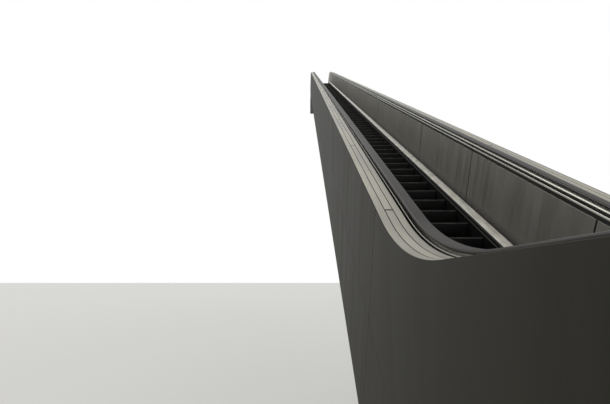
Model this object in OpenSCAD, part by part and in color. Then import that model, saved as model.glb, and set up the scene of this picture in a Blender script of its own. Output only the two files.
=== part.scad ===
// Heavy-duty public escalator in one long run between two floors, in millimetres.
// X runs across the machine, Y along the travel and up the slope, Z up.
// The origin is the middle of the lower bearing's underside.

/* [Travel] */
// Height from the lower floor to the upper floor
rise = 16400; // [9000:100:17400]
// Slope of the inclined run, in degrees
slope = 30; // [29:0.5:31]
// Radius of the step line in the lower bend
bend_low = 2000; // [1800:50:2400]
// Radius of the step line in the upper bend
bend_up = 2600; // [2400:50:3200]
// Flat run of steps at each landing, from the comb to the bend
flat_run = 1215; // [1215:5:1600]
// Length of the lower floor plates, from the machine's end to the comb
landing_low = 1500; // [1400:50:2400]
// Length of the upper floor plates, from the comb to the machine's end
landing_up = 1800; // [1400:50:2400]

/* [Steps] */
// Width of a step
step_w = 1000; // [980:2:1002]
// Depth of a tread
step_depth = 400; // [390:5:410]
// Gap between one tread and the next
step_gap = 5; // [4:0.5:6]
// Thickness of a tread casting
tread_t = 24; // [20:1:30]
// Thickness of a riser casting
riser_t = 14; // [10:1:16]
// Depth of a step's wheels below its tread
wheel_drop = 190; // [186:1:200]
// Radius of a step's wheels
wheel_r = 36; // [30:1:38]
// Pitch of the cleats on a tread
cleat_pitch = 9; // [8.5:0.1:10]
// Depth of the grooves between the cleats
cleat_depth = 11; // [10:0.5:12]

/* [Balustrade] */
// Height of the handrail above the treads at a landing
hand_h = 950; // [930:5:980]
// Height of the handrail square to the slope
hand_n = 853; // [840:1:880]
// Radius of the handrail in the lower bend
hand_bend_low = 2150; // [1900:50:2400]
// Radius of the handrail in the upper bend
hand_bend_up = 3500; // [3200:50:3700]
// Outer radius of the handrail round a newel
newel_r = 300; // [280:5:320]
// Distance from a comb to the tip of its newel
newel_out = 800; // [760:10:900]
// Distance between the skirt faces
skirt_gap = 1010; // [1008:1:1012]
// Thickness of a skirt plate
skirt_t = 6; // [4:0.5:8]
// Rise of the skirt above the step line
skirt_up = 76; // [70:1:85]
// Width of the sloping inner deck
inner_deck_w = 97; // [85:1:110]
// Rise of the inner deck from the skirt to the panel
inner_deck_up = 44; // [36:1:52]
// Thickness of the deck plates
deck_t = 4; // [3:0.5:5]
// Thickness of an interior panel
panel_t = 20; // [16:1:24]
// Width of the moving handrail
hand_w = 80; // [78:1:84]
// Nominal length of one balustrade bay
bay_nominal = 2190; // [1900:10:2500]
// Gap at the joints between bays
joint = 4; // [2:0.5:6]
// Fall from the handrail's top to the outer deck
outer_deck_drop = 40; // [36:1:44]
// Width of the outer deck
outer_deck_w = 160; // [150:1:175]
// Gap between the outer deck's strips
strip_gap = 5; // [3:0.5:6]
// Thickness of the outer cladding
cladding_t = 12; // [8:1:16]

/* [Truss] */
// Depth of the truss below the step line
truss_depth = 1080; // [1040:10:1200]
// Height and width of a truss chord
chord = 100; // [80:5:110]
// Thickness of the cross frames
frame_t = 12; // [8:1:20]
// Thickness of the floor plates
floor_t = 30; // [24:1:36]
// Height of the floor plates above the treads
comb_rise = 22; // [20:1:26]
// Distance of the bearing face below the treads at the lower landing
bearing_drop = 120; // [100:5:140]
// Length of a bearing's foot
bearing_reach = 160; // [140:5:200]

/* [Hidden] */

// Segments in a bend
bend_steps = 10;
// Running clearance between pieces that seat on one another, and below the wheels
seat = 0.3;
wheel_seat = 0.8;
end_t = 10;
soffit_t = 5;
rail_t = 8;

step_pitch = step_depth + step_gap;
floor_low = bearing_drop;
floor_up = floor_low + rise;
truss_y0 = bearing_reach / 2 + end_t;
comb_y0 = truss_y0 + landing_low;

// Directions along the slope and square to it, in the side plane
along = [cos(slope), sin(slope)];
square_to = [-sin(slope), cos(slope)];

// A line of the run that lies h above the treads on the landings and n above the step line, square
// to the slope: [lower z, upper z, lower radius, upper radius, lower corner y, upper corner y, n]
corner_low = comb_y0 + flat_run + bend_low * tan(slope / 2);
corner_up = corner_low + rise / tan(slope);
function line_of(h, n, r_low, r_up) =
    let (shift = (h - n / cos(slope)) / tan(slope))
    [floor_low + h, floor_up + h, r_low, r_up, corner_low + shift, corner_up + shift, n];

// The line a point of a step follows, from its place behind the tread's upper rear edge
function step_point_line(y, z) =
    line_of(z, -(y + step_depth) * sin(slope) + z * cos(slope), bend_low, bend_up);

step_line = line_of(0, 0, bend_low, bend_up);
hand_line = line_of(hand_h, hand_n, hand_bend_low, hand_bend_up);

// Lines of the chain wheels and of the trailing wheels
chain = step_point_line(-30, -wheel_drop);
trailer = step_point_line(-280, -wheel_drop);

comb_y1 = corner_up + bend_up * tan(slope / 2) + flat_run;
truss_y1 = comb_y1 + landing_up;

// Where the step line meets its bends, measured up the slope from its lower corner
slope_len = rise / sin(slope);
slope_start = bend_low * tan(slope / 2);
slope_end = slope_len - bend_up * tan(slope / 2);

// Bays of the balustrade on the slope, between the stubs that stay with the bends
stub = 650;
bay_start = slope_start + stub;
bay_end = slope_end - stub;
bays = round((bay_end - bay_start) / bay_nominal);
bay = (bay_end - bay_start) / bays;

// Newel centres
newel_y0 = comb_y0 - newel_out + newel_r;
newel_y1 = comb_y1 + newel_out - newel_r;

// Places across the machine
skirt_x = skirt_gap / 2;
panel_x = skirt_x + inner_deck_w;
hand_x = panel_x + panel_t;
outer_x = hand_x + hand_w + 23;
clad_x = outer_x + outer_deck_w;
machine_x = clad_x + cladding_t;
panel_low = skirt_up + inner_deck_up;
panel_drop = 114;

// A place on the run is [part, distance]: part 0 is the lower flat and part 2 the upper flat, with
// their y, and part 1 is the slope, with the distance up it from the step line's lower corner
function moved(j, d) = [j[0], j[1] + d];

function point_at(line, off, j) =
    j[0] == 0 ? [j[1], line[0] + off] :
    j[0] == 2 ? [j[1], line[1] + off] :
    [corner_low, floor_low] + j[1] * along + (line[6] + off) * square_to;

function low_bend(line, off) =
    let (r = line[2], c = [line[4] - r * tan(slope / 2), line[0] + r])
    [for (i = [0:bend_steps]) let (a = slope * i / bend_steps) c + (r - off) * [sin(a), -cos(a)]];

function up_bend(line, off) =
    let (r = line[3], c = [line[5] + r * tan(slope / 2), line[1] - r])
    [for (i = [bend_steps:-1:0]) let (a = slope * i / bend_steps) c + (r + off) * [-sin(a), cos(a)]];

// The points of a line from one place to another, round the bends between them
function run(line, off, j0, j1) = concat(
    [point_at(line, off, j0)],
    j0[0] == 0 && j1[0] > 0 ? low_bend(line, off) : [],
    j0[0] < 2 && j1[0] == 2 ? up_bend(line, off) : [],
    [point_at(line, off, j1)]);

// Where a line's bends begin and end: on the flats by y, on the slope by the distance up it
function low_bend_y(line) = line[4] - line[2] * tan(slope / 2);
function up_bend_y(line) = line[5] + line[3] * tan(slope / 2);
function slope_from(line) =
    [line[4] - corner_low, line[0] - floor_low] * along + line[2] * tan(slope / 2);
function slope_to(line) =
    slope_len + [line[5] - corner_up, line[1] - floor_up] * along - line[3] * tan(slope / 2);

// Ends of the pieces of a long strip: flats, bends and, between joints, the slope
bend_tail = 20;
function pieces(line, y0, y1, joints = []) = concat(
    [[0, y0], [0, low_bend_y(line) - bend_tail], [1, slope_from(line) + bend_tail]], joints,
    [[1, slope_to(line) - bend_tail], [2, up_bend_y(line) + bend_tail], [2, y1]]);

function backwards(list) = [for (i = [len(list) - 1:-1:0]) list[i]];

// Ends of the balustrade's bays, from one newel to the other
bay_joints = [for (i = [0:bays]) [1, bay_start + i * bay]];
bay_ends = concat([[0, newel_y0]], bay_joints, [[2, newel_y1]]);
last_bay = len(bay_ends) - 2;

// Last frames on the flats, clear of the bends of every line
bent_lines = [step_line, hand_line, chain, trailer];
low_post = [0, min([for (l = bent_lines) low_bend_y(l)]) - 60];
up_post = [2, max([for (l = bent_lines) up_bend_y(l)]) + 60];

// Start and end of a piece, half a joint in from its neighbours
function from_end(ends, i, gap) = moved(ends[i], i == 0 ? 0 : gap / 2);
function to_end(ends, i, gap) = moved(ends[i + 1], i == len(ends) - 2 ? 0 : -gap / 2);
function bay_from(i) = from_end(bay_ends, i, joint);
function bay_to(i) = to_end(bay_ends, i, joint);

// Stands a drawing of the side plane up between two places across the machine
module across(x0, x1) {
    translate([x0, 0, 0]) rotate([90, 0, 90]) linear_extrude(x1 - x0) children();
}

// A plate between two lines of the run
module strip(line_a, off_a, line_b, off_b, j0, j1, x0, x1) {
    across(x0, x1) polygon(concat(run(line_a, off_a, j0, j1), backwards(run(line_b, off_b, j0, j1))));
}

// The same plate in pieces, with a gap at each joint
module strips(line_a, off_a, line_b, off_b, ends, gap, x0, x1) {
    for (i = [0:len(ends) - 2])
        strip(line_a, off_a, line_b, off_b, from_end(ends, i, gap), to_end(ends, i, gap), x0, x1);
}

// Pushes a drawing of [across, square to the run] a thickness t centred on a place of the run
module push(j, t) {
    p = point_at(step_line, 0, j);
    translate([0, p[0], p[1]]) rotate([j[0] == 1 ? slope : 0, 0, 0])
        rotate([90, 0, 0]) translate([0, 0, -t / 2]) linear_extrude(t) children();
}

// A cross-section of [across, square to the path] carried along a path of [y, z, angle]
module sweep(section, path, closed = false) {
    n = len(section);
    m = len(path);
    points = [for (p = path) for (s = section) [s[0], p[0] - s[1] * sin(p[2]), p[1] + s[1] * cos(p[2])]];
    rings = [for (i = [0:m - (closed ? 1 : 2)]) for (k = [0:n - 1])
        let (a = i * n, b = ((i + 1) % m) * n, l = (k + 1) % n) [a + k, b + k, b + l, a + l]];
    ends = closed ? [] : [[for (k = [0:n - 1]) k], [for (k = [n - 1:-1:0]) (m - 1) * n + k]];
    polyhedron(points, concat(rings, ends), convexity = 8);
}

// Arcs of a line with their angles, and the path from one place to another, for sweeping
function low_arc(line) = let (r = line[2], c = [line[4] - r * tan(slope / 2), line[0] + r])
    [for (i = [0:bend_steps]) let (a = slope * i / bend_steps) [c[0] + r * sin(a), c[1] - r * cos(a), a]];
function up_arc(line) = let (r = line[3], c = [line[5] + r * tan(slope / 2), line[1] - r])
    [for (i = [bend_steps:-1:0]) let (a = slope * i / bend_steps) [c[0] - r * sin(a), c[1] + r * cos(a), a]];

function path_of(line, j0, j1) = concat(
    [concat(point_at(line, 0, j0), j0[0] == 1 ? slope : 0)],
    j0[0] == 0 && j1[0] > 0 ? low_arc(line) : [],
    j0[0] < 2 && j1[0] == 2 ? up_arc(line) : [],
    [concat(point_at(line, 0, j1), j1[0] == 1 ? slope : 0)]);

module sweeps(section, line, ends, gap) {
    for (i = [0:len(ends) - 2])
        sweep(section, path_of(line, from_end(ends, i, gap), to_end(ends, i, gap)));
}

// Half circles round the newels at the handrail's top surface
newel_steps = 8;
function newel_arc_low() = [for (i = [newel_steps:-1:0]) let (a = 180 * i / newel_steps)
    [newel_y0 - newel_r * sin(a), hand_line[0] - newel_r + newel_r * cos(a), a]];
function newel_arc_up() = [for (i = [0:newel_steps]) let (a = 180 * i / newel_steps)
    [newel_y1 + newel_r * sin(a), hand_line[1] - newel_r + newel_r * cos(a), -a]];
top_path = concat(newel_arc_low(), low_arc(hand_line), up_arc(hand_line), newel_arc_up());

// The handrail's way back, turned over inside the balustrade
return_line = [hand_line[0] - 2 * newel_r, hand_line[1] - 2 * newel_r,
    hand_bend_low + 2 * newel_r, hand_bend_up - 2 * newel_r, hand_line[4] + 2 * newel_r * tan(slope / 2),
    hand_line[5] + 2 * newel_r * tan(slope / 2), hand_n - 2 * newel_r];
return_path = [for (p = concat(backwards(up_arc(return_line)), backwards(low_arc(return_line))))
    [p[0], p[1], p[2] - 180]];

// Steps
tread_at_comb = 195;
flat_steps_len = flat_run + tread_at_comb;
arc_low_len = bend_low * slope * PI / 180;
arc_up_len = bend_up * slope * PI / 180;
incline_len = slope_end - slope_start;
first_nose = 10;
comb_to_comb = 2 * flat_run + arc_low_len + incline_len + arc_up_len;
step_count = ceil((tread_at_comb + comb_to_comb + 25 - step_depth - first_nose) / step_pitch) + 1;

// Place of a step's nose after a travel s along the step line
function nose_place(s) =
    let (s1 = s - flat_steps_len, s2 = s1 - arc_low_len, s3 = s2 - incline_len, s4 = s3 - arc_up_len,
        c1 = [corner_low - slope_start, floor_low + bend_low],
        c2 = [corner_up + bend_up * tan(slope / 2), floor_up - bend_up])
    s1 < 0 ? [c1[0] + s1, floor_low] :
    s2 < 0 ? let (a = s1 / bend_low * 180 / PI) c1 + bend_low * [sin(a), -cos(a)] :
    s3 < 0 ? [corner_low, floor_low] + (slope_start + s2) * along :
    s4 < 0 ? let (a = slope - s3 / bend_up * 180 / PI) c2 + bend_up * [-sin(a), cos(a)] :
    [c2[0] + s4, floor_up];

// One step, with its tread's rear upper edge at the origin and its riser hanging from the nose
riser_end = 31.5;
module step_casting() {
    inner = step_depth - riser_t;
    top = asin(tread_t / inner);
    across(-step_w / 2, step_w / 2) polygon(concat(
        [[0, 0], [-step_depth, 0]],
        [for (i = [1:6]) let (a = riser_end * i / 6) -step_depth * [cos(a), sin(a)]],
        [for (i = [6:-1:0]) let (a = top + (riser_end - top) * i / 6) -inner * [cos(a), sin(a)]],
        [[0, -tread_t]]));
}

// The same step with its cleats cut, for the landings where the combs mesh with them
module cleated_casting() {
    difference() {
        step_casting();
        translate([0, 1, 0]) rotate([90, 0, 0]) linear_extrude(step_depth + 2)
            for (x = [-cleats / 2 + 0.5:1:cleats / 2 - 0.5])
                translate([x * cleat_pitch - cleat_pitch / 4, -cleat_depth])
                    square([cleat_pitch / 2, cleat_depth + 1]);
    }
}
cleats = 2 * floor((step_w - 8) / cleat_pitch / 2);

// Side bracket with its chain wheel outside and its trailing wheel inside
module bracket_and_wheels() {
    d = wheel_drop;
    across(438, 446) polygon([[-8, -tread_t], [-8, -d + 30], [-16, -d - 12], [-44, -d - 12],
        [-64, -d + 70], [-240, -d + 70], [-262, -d - 12], [-296, -d - 12], [-345, -d + 70], [-374, -tread_t]]);
    for (w = [[-30, 446, 488, 452], [-280, 398, 438, 398]]) {
        translate([w[1], w[0], -d]) rotate([0, 90, 0]) cylinder(h = w[2] - w[1], r = 12, $fn = 24);
        translate([w[3], w[0], -d]) rotate([0, 90, 0]) cylinder(h = w[0] == -30 ? 34 : 32, r = wheel_r, $fn = 32);
    }
}

module whole_step(cleated) {
    if (cleated) cleated_casting();
    else step_casting();
    bracket_and_wheels();
    mirror([1, 0, 0]) bracket_and_wheels();
}

module steps(k0, k1) {
    for (k = [k0:k1 - 1]) {
        p = nose_place(first_nose + k * step_pitch);
        translate([0, p[0] + step_depth, p[1]]) whole_step(k == 0 || k >= step_count - 2);
    }
}
landing_steps = 5;
quarter = floor((step_count - 2 * landing_steps) / 4);
module steps_lower() { color("#1b1b1c") steps(0, landing_steps); }
module steps_incline(i) {
    color("#1b1b1c") steps(landing_steps + i * quarter,
        i == 3 ? step_count - landing_steps : landing_steps + (i + 1) * quarter);
}
module steps_upper() { color("#1b1b1c") steps(step_count - landing_steps, step_count); }

// Rails under the chain wheels and under the trailing wheels
rail_top = -wheel_r - wheel_seat;
rail_ends = [[0, comb_y0 - tread_at_comb], low_post, [1, bay_start], [1, bay_end], up_post, [2, newel_y1 - 68]];
module step_rails() {
    color("#5c6064") for (m = [0, 1]) mirror([m, 0, 0]) {
        strips(chain, rail_top, chain, rail_top - rail_t, rail_ends, 2, 450, skirt_x - seat);
        strips(trailer, rail_top, trailer, rail_top - rail_t, rail_ends, 2, 392, 432);
    }
}

skirt_low = -240;
module skirt() {
    color("#141414") for (i = [0:last_bay])
        strip(step_line, skirt_low, step_line, skirt_up - deck_t, bay_from(i), bay_to(i), skirt_x, skirt_x + skirt_t);
}

// Brush rail along the skirt, above the step line
module skirt_brush() {
    color("#6a6a68")
        strips(step_line, 34, step_line, 46, pieces(step_line, comb_y0, comb_y1), 2, skirt_x - 16, skirt_x);
}

module inner_deck() {
    section = [[skirt_x, skirt_up - deck_t], [panel_x, panel_low - deck_t], [hand_x, panel_low - deck_t],
        [hand_x, panel_low], [panel_x, panel_low], [skirt_x, skirt_up]];
    color("#b9b7ae") sweeps(section, step_line, pieces(step_line, newel_y0, newel_y1, bay_joints), joint);
}

module panels() {
    color("#8f8f8c") for (i = [0:last_bay])
        strip(step_line, panel_low, hand_line, -panel_drop, bay_from(i), bay_to(i), panel_x, hand_x);
}

// Guide that carries the handrail. On the passengers' side it has a trim over the panel's edge, a thin
// nose, a groove and a broad bead under the handrail, and on the other side a ledge with a ridge.
module handrail_guide() {
    x = hand_x;
    w = hand_x + hand_w;
    tongue = -hand_wall - seat;
    lip = -hand_lip + 6 - seat;
    section = [[panel_x + 1, -panel_drop + seat], [panel_x + 1, -88], [x - 24, -85], [x - 17, -66],
        [x - 5, -63], [x - 5, -50], [x - 18, -47], [x - 20, -41], [x - 17, -32], [x - 8, -26],
        [x + 19, -31], [x + 19, lip], [x + 10, lip], [x + 10, tongue], [w - 10, tongue],
        [w - 10, lip], [w - 19, lip], [w - 19, -38], [w + 5, -38], [w + 7, -33], [w + 11, -33],
        [w + 13, -38], [w + 13, -60], [x + 6, -60], [x + 6, -panel_drop + seat]];
    color("#c9c9c6") {
        sweeps(backwards(section), hand_line, pieces(hand_line, newel_y0 + 1, newel_y1 - 1), 1);
        sweep(backwards(section), newel_arc_low());
        sweep(backwards(section), newel_arc_up());
    }
}

// Handrail: a C of rubber whose lips close under the guide's tongue
hand_wall = 10;
hand_lip = 22;
module handrail() {
    x = hand_x;
    w = hand_x + hand_w;
    section = [[x + 8, 0], [x, -8], [x, -hand_lip], [x + 18, -hand_lip], [x + 18, -hand_lip + 5],
        [x + 9, -hand_lip + 5], [x + 9, -hand_wall], [w - 9, -hand_wall], [w - 9, -hand_lip + 5],
        [w - 18, -hand_lip + 5], [w - 18, -hand_lip], [w, -hand_lip], [w, -8], [w - 8, 0]];
    color("#2a2a2b") sweep(section, concat(top_path, return_path), closed = true);
}

strip_w = (outer_deck_w - 2 * strip_gap) / 3;
deck_plate = 6;
module outer_deck() {
    color("#aeaca4") for (k = [0:2]) {
        x = outer_x + k * (strip_w + strip_gap);
        middle = k == 1 ? bay_joints : [[1, bay_start], [1, bay_end]];
        strips(hand_line, -outer_deck_drop - deck_plate, hand_line, -outer_deck_drop,
            concat([[0, newel_y0], low_post], middle, [up_post, [2, newel_y1]]), joint, x, x + strip_w);
    }
}

// Outer cladding, from the outer deck down to the soffit, with its end bays drawn in below the floors
plate_top_low = floor_low + comb_rise;
plate_top_up = floor_up + comb_rise;
truss_low = -truss_depth - soffit_t;
module cladding() {
    color("#4a4b4c") {
        for (i = [1:last_bay - 1])
            strip(step_line, truss_low, hand_line, -outer_deck_drop, bay_from(i), bay_to(i), clad_x, machine_x);
        across(clad_x, machine_x) polygon(concat(
            [[truss_y0, plate_top_low - floor_t]],
            run(step_line, truss_low, [0, truss_y0], bay_to(0)),
            backwards(run(hand_line, -outer_deck_drop, [0, newel_y0], bay_to(0))),
            [[newel_y0, plate_top_low - floor_t]]));
        across(clad_x, machine_x) polygon(concat(
            [[truss_y1, plate_top_up - floor_t]],
            backwards(run(step_line, truss_low, bay_from(last_bay), [2, truss_y1])),
            run(hand_line, -outer_deck_drop, bay_from(last_bay), [2, newel_y1]),
            [[newel_y1, plate_top_up - floor_t]]));
    }
}

// Half-round end of the balustrade and the base below it
module newel_half(z_floor) {
    zc = z_floor + hand_h - newel_r;
    inner_r = newel_r - panel_drop;
    outer_r = newel_r - outer_deck_drop;
    plate = z_floor + comb_rise;
    difference() {
        union() {
            translate([panel_x, 0, zc]) rotate([0, 90, 0]) cylinder(h = machine_x - panel_x, r = inner_r, $fn = 96);
            translate([outer_x, 0, zc]) rotate([0, 90, 0]) cylinder(h = machine_x - outer_x, r = outer_r, $fn = 96);
        }
        translate([0, 0, zc - newel_r]) cube([machine_x + 10, newel_r, 2 * newel_r]);
    }
    translate([panel_x, -end_t, plate]) cube([machine_x - panel_x, end_t, zc - newel_r - 4 - plate]);
    translate([outer_x, -end_t, zc - newel_r - 5]) cube([machine_x - outer_x, end_t, newel_r - outer_r + 10]);
}
module newel_lower() { color("#9a9a97") translate([0, newel_y0, 0]) newel_half(floor_low); }
module newel_upper() { color("#9a9a97") translate([0, newel_y1, 0]) mirror([0, 1, 0]) newel_half(floor_up); }

// Combs: teeth that stand in the grooves of the treads, and their sloping back
comb_len = 60;
comb_w = skirt_x - seat;
module comb() {
    tooth_w = cleat_pitch / 2 - 1.5;
    across(-comb_w, comb_w) polygon([[-comb_len, 1], [-comb_len, comb_rise], [-comb_len + 14, comb_rise],
        [-16, 5], [-16, 1]]);
    translate([0, 0, -5]) linear_extrude(8)
        for (x = [-cleats / 2 + 0.5:1:cleats / 2 - 0.5])
            translate([x * cleat_pitch - tooth_w / 2, -24]) square([tooth_w, 24]);
}
module comb_lower() { color("#b3a060") translate([0, comb_y0, floor_low]) comb(); }
module comb_upper() { color("#b3a060") translate([0, comb_y1, floor_up]) mirror([0, 1, 0]) comb(); }

module comb_plate() {
    back = newel_out - newel_r;
    translate([-comb_w, -back, 2]) cube([2 * comb_w, back - comb_len, comb_rise - 2]);
}
module comb_plate_lower() { color("#8d8e8e") translate([0, comb_y0, floor_low]) comb_plate(); }
module comb_plate_upper() { color("#8d8e8e") translate([0, comb_y1, floor_up]) mirror([0, 1, 0]) comb_plate(); }

// Removable floor plates in front of the newels, with a gap between them
module floor_plates(landing) {
    half = (landing - newel_out + newel_r) / 2;
    for (i = [0, 1])
        translate([-machine_x, -landing + i * (half + 1), comb_rise - floor_t])
            cube([2 * machine_x, half - 1, floor_t]);
}
module floor_plates_lower() { color("#7b7c7c") translate([0, comb_y0, floor_low]) floor_plates(landing_low); }
module floor_plates_upper() {
    color("#7b7c7c") translate([0, comb_y1, floor_up]) mirror([0, 1, 0]) floor_plates(landing_up);
}

// Cross frames cut from plate, which carry the balustrades, the rails and the chords
chord_x = clad_x - chord;
chord_top = -120;
chord_low = chord_top - chord;
module frame_outline(half) {
    polygon(concat(half, backwards([for (p = half) [-p[0], p[1]]])));
}
// Lower part of a cross frame, round the steps' way back, with its upper edge at the given height
module frame_ring(top) {
    difference() {
        frame_outline(concat([[chord_x, -truss_depth], [chord_x, -truss_depth + chord],
            [clad_x, -truss_depth + chord]], top > chord_top ? [[clad_x, chord_low], [chord_x, chord_low],
            [chord_x, chord_top], [clad_x, chord_top]] : [], [[clad_x, top]]));
        translate([-chord_x + 40, -truss_depth + chord + 20])
            square([2 * chord_x - 80, truss_depth - chord - 20 + top - 100]);
    }
}

// Side of a cross frame, from the rails' seats out to the top chord and up to the inner deck
module frame_side(chain_rail, trailer_rail) {
    bed = min(chain_rail, trailer_rail) - 10;
    deck_low = skirt_up - deck_t + skirt_t * inner_deck_up / inner_deck_w;
    polygon(concat([[392, bed], [clad_x, bed]], bed < chord_low ? [[clad_x, chord_low], [chord_x, chord_low]] :
        [[clad_x, bed], [chord_x, bed]], [[chord_x, chord_top], [clad_x, chord_top],
        [clad_x, panel_low - deck_t], [panel_x, panel_low - deck_t], [skirt_x + skirt_t, deck_low],
        [skirt_x + skirt_t, chain_rail - 1], [skirt_x, chain_rail], [445, chain_rail], [445, bed + 5],
        [438, bed + 5], [438, trailer_rail], [392, trailer_rail]]));
}

// Post of the balustrade, behind the panel and under the outer deck, open where the handrail returns
module post(hand) {
    deck = hand - outer_deck_drop - deck_plate;
    low = panel_low - deck_t;
    difference() {
        polygon([[hand_x, low], [clad_x, low], [clad_x, deck], [outer_x - 4, deck],
            [outer_x - 4, hand - 60 - seat], [hand_x + 6 + seat, hand - 60 - seat],
            [hand_x + 6 + seat, hand - panel_drop], [hand_x, hand - panel_drop]]);
        translate([hand_x - 1, hand - 2 * newel_r - 6]) square([hand_w + 6, 34]);
    }
}

// Places of the cross frames: [place, handrail height, chain rail's seat, trailing rail's seat]
slope_seats = [hand_n, chain[6] + rail_top - rail_t, trailer[6] + rail_top - rail_t];
flat_seats = [hand_h, -wheel_drop + rail_top - rail_t, -wheel_drop + rail_top - rail_t];
newel_seats = [hand_h, skirt_low, skirt_low];
frame_places = concat([for (j = bay_joints) concat([j], slope_seats)],
    [for (j = [[0, comb_y0 + 420], low_post, up_post, [2, comb_y1 - 380]]) concat([j], flat_seats)],
    [concat([[0, newel_y0 + 50]], newel_seats), concat([[2, newel_y1 - 50]], newel_seats)]);

module cross_frames() {
    color("#3f4347") {
        for (f = frame_places) push(f[0], frame_t) frame_ring(min(f[2], f[3]) - 10);
        for (y = [truss_y0 + frame_t, newel_y0 - 170]) push([0, y], frame_t) frame_ring(comb_rise - floor_t);
        for (y = [truss_y1 - frame_t, newel_y1 + 170]) push([2, y], frame_t) frame_ring(comb_rise - floor_t);
    }
}
module skirt_brackets() { color("#3f4347") for (f = frame_places) push(f[0], frame_t) frame_side(f[2], f[3]); }
module balustrade_posts() { color("#3f4347") for (f = frame_places) push(f[0], frame_t) post(f[1]); }

module truss_chords() {
    ends = pieces(step_line, truss_y0, truss_y1);
    color("#3a3d40") for (m = [0, 1]) mirror([m, 0, 0]) {
        strips(step_line, chord_low, step_line, chord_top, ends, 1, chord_x, clad_x);
        strips(step_line, -truss_depth, step_line, -truss_depth + chord, ends, 1, chord_x, clad_x);
    }
}

// Diagonals between the chords, one in each bay
module truss_diagonals() {
    w = 70;
    color("#3a3d40") for (m = [0, 1]) mirror([m, 0, 0]) for (i = [0:bays - 1]) {
        s0 = bay_start + i * bay + frame_t;
        s1 = s0 + bay - 2 * frame_t;
        low = -truss_depth + chord;
        across(chord_x + 20, chord_x + 50) polygon([point_at(step_line, low, [1, s0]),
            point_at(step_line, low, [1, s0 + w]), point_at(step_line, chord_low, [1, s1]),
            point_at(step_line, chord_low, [1, s1 - w])]);
    }
}

module soffit_plates() {
    color("#55585a")
        strips(step_line, truss_low, step_line, -truss_depth, pieces(step_line, truss_y0, truss_y1, bay_joints),
            joint, -clad_x, clad_x);
}

module end_plate() {
    translate([-machine_x, -end_t, truss_low]) cube([2 * machine_x, end_t, comb_rise - truss_low]);
}
module end_plate_lower() { color("#3a3d40") translate([0, truss_y0, floor_low]) end_plate(); }
module end_plate_upper() {
    color("#3a3d40") translate([0, truss_y1, floor_up]) mirror([0, 1, 0]) end_plate();
}

// Angle with its foot on the building's bearing, drawn with the middle of the underside at the origin
foot_t = 25;
foot_w = 1400;
hole_r = 13;
hole_x = 300;
module bearing() {
    half = bearing_reach / 2;
    difference() {
        union() {
            translate([-foot_w / 2, -half, 0]) cube([foot_w, 2 * half, foot_t]);
            translate([-foot_w / 2, half - foot_t, 0]) cube([foot_w, foot_t, bearing_drop]);
            for (x = [-foot_w / 2, -foot_w / 6 - 10, foot_w / 6 - 10, foot_w / 2 - 20])
                translate([x, 0, 0]) across(0, 20)
                    polygon([[-half + 20, foot_t - 1], [half - 1, foot_t - 1], [half - 1, bearing_drop - 10]]);
        }
        for (x = [-hole_x, hole_x]) translate([x, -half + 50, -1]) cylinder(h = foot_t + 2, r = hole_r, $fn = 32);
    }
}
module bearing_lower() { color("#303336") bearing(); }
module bearing_upper() {
    color("#303336") translate([0, truss_y1 + end_t + bearing_reach / 2, rise]) mirror([0, 1, 0]) bearing();
}

module left() { mirror([1, 0, 0]) children(); }

steps_lower();
steps_incline(0);  // steps_incline_a
steps_incline(1);  // steps_incline_b
steps_incline(2);  // steps_incline_c
steps_incline(3);  // steps_incline_d
steps_upper();
step_rails();
left() skirt();  // skirt_left
skirt();  // skirt_right
left() skirt_brush();  // skirt_brush_left
skirt_brush();  // skirt_brush_right
left() inner_deck();  // inner_deck_left
inner_deck();  // inner_deck_right
left() panels();  // panels_left
panels();  // panels_right
left() handrail_guide();  // handrail_guide_left
handrail_guide();  // handrail_guide_right
left() handrail();  // handrail_left
handrail();  // handrail_right
left() outer_deck();  // outer_deck_left
outer_deck();  // outer_deck_right
left() cladding();  // cladding_left
cladding();  // cladding_right
left() newel_lower();  // newel_lower_left
newel_lower();  // newel_lower_right
left() newel_upper();  // newel_upper_left
newel_upper();  // newel_upper_right
comb_lower();
comb_upper();
comb_plate_lower();
comb_plate_upper();
floor_plates_lower();
floor_plates_upper();
left() balustrade_posts();  // balustrade_posts_left
balustrade_posts();  // balustrade_posts_right
left() skirt_brackets();  // skirt_brackets_left
skirt_brackets();  // skirt_brackets_right
cross_frames();
truss_chords();
truss_diagonals();
soffit_plates();
end_plate_lower();
end_plate_upper();
bearing_lower();
bearing_upper();
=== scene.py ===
import math
import bmesh
import bpy
import numpy as np
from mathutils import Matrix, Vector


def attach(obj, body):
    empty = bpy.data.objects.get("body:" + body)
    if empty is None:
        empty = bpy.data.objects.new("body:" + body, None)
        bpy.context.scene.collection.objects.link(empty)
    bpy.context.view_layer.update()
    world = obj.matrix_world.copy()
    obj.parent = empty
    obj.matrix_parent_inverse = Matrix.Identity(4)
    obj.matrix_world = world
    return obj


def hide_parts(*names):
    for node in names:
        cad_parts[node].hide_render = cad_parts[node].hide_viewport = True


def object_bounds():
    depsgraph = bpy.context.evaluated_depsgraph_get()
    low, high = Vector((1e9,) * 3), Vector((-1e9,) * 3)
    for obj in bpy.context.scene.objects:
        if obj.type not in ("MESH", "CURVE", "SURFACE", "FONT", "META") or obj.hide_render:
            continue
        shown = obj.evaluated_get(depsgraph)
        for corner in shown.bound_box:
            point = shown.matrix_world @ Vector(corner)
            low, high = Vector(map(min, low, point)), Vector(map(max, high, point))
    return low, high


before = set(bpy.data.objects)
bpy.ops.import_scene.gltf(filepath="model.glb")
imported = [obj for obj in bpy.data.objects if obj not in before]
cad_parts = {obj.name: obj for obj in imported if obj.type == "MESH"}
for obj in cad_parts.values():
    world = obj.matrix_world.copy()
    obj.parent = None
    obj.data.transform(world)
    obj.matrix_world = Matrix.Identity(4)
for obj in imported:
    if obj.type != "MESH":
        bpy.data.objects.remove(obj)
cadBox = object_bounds()
scene = bpy.context.scene
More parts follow.
